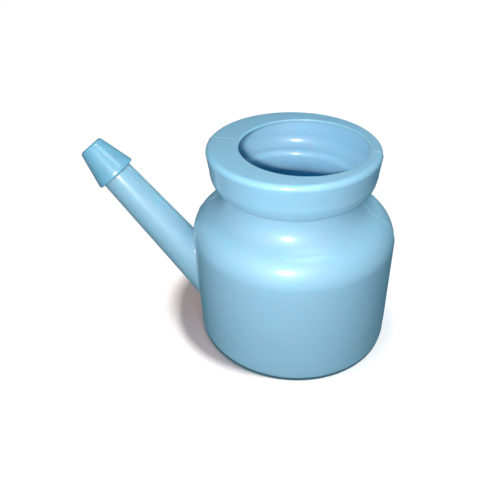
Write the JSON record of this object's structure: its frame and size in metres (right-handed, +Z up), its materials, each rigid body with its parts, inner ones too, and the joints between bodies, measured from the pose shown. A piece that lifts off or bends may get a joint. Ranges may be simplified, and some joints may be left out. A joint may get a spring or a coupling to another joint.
{
  "type": "nasal wash pot",
  "caption": "Squat moulded wash pot with a hollow overhanging rim, an off-centre mouth, a long rising side spout and a push-on tapered nozzle.",
  "frame": {"origin": "on the body's axis, in the plane of the ring the pot stands on", "axes": "+Z up along the body's axis; the spout rises towards -X and the mouth is offset towards +X; +Y completes the right-handed frame"},
  "size_m": [0.1633, 0.1, 0.1002],
  "materials": {
    "vessel": "satin moulded polyethylene",
    "splash_rim": "satin moulded polyethylene",
    "spout_tube": "satin moulded polyethylene",
    "nose_tip": "smooth moulded polyethylene"
  },
  "bodies": {
    "pot": {"vessel": "vessel", "splash_rim": "splash_rim", "spout_tube": "spout_tube"},
    "nozzle": {"nose_tip": "nose_tip"}
  },
  "joints": [
    {"name": "nozzle_pull", "type": "slide", "parent": "pot", "child": "nozzle", "axis": [-0.6691, 0, 0.7431], "range_m": [0, 0.025]}
  ]
}
